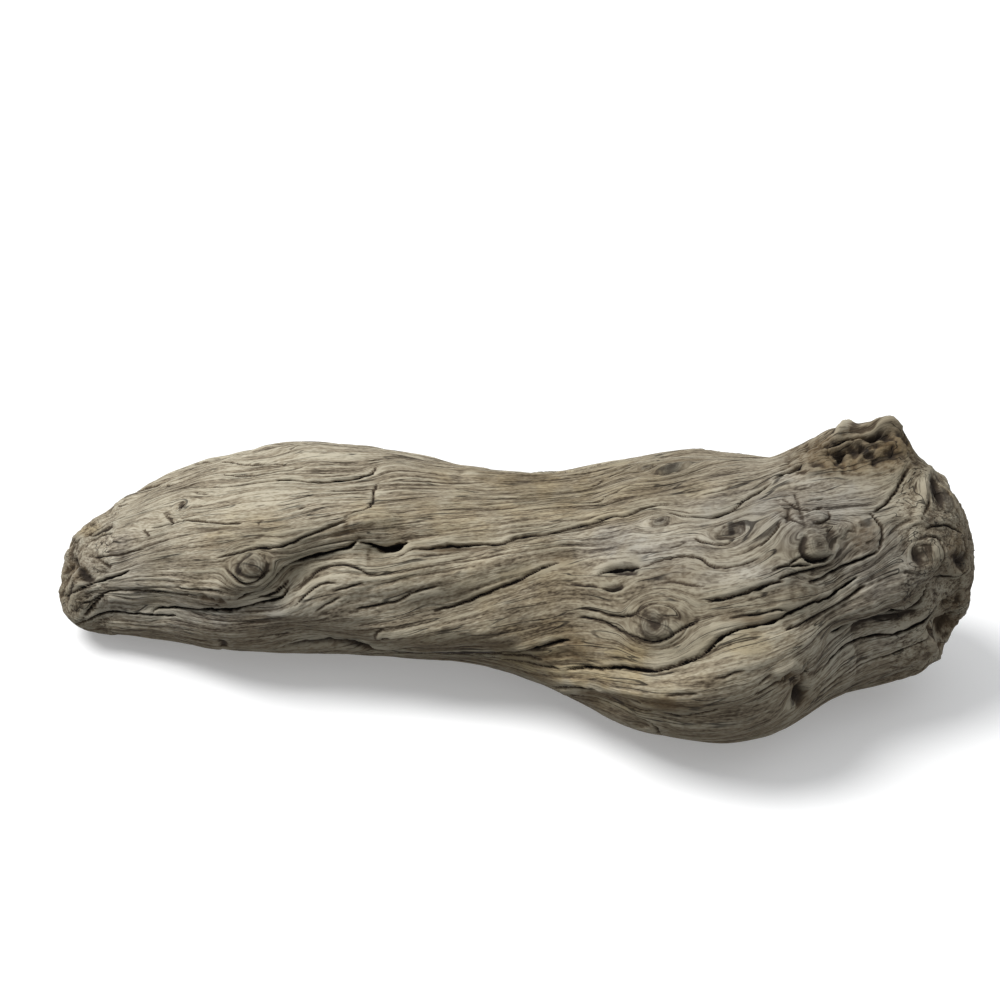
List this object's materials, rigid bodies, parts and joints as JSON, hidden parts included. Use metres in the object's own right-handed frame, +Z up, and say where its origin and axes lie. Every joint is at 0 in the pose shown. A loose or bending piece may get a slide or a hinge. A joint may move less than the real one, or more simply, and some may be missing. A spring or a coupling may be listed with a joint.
{
  "type": "piece of driftwood",
  "caption": "Solid weathered driftwood log with a blunt worn tip, a burl-swollen butt with a broken crest, and a worn underside that it lies on.",
  "frame": {"origin": "on the surface that the log lies on, under the middle of its box", "axes": "+X along the log from its worn tip to its swollen butt, +Z up, and -Y the face that the foot of the butt reaches towards"},
  "size_m": [0.636, 0.3334, 0.1877],
  "materials": {
    "weathered_wood": "dry silver-grey weathered wood with ochre stains and dark checks, matt"
  },
  "bodies": {
    "root": {"driftwood": "weathered_wood"}
  },
  "joints": []
}
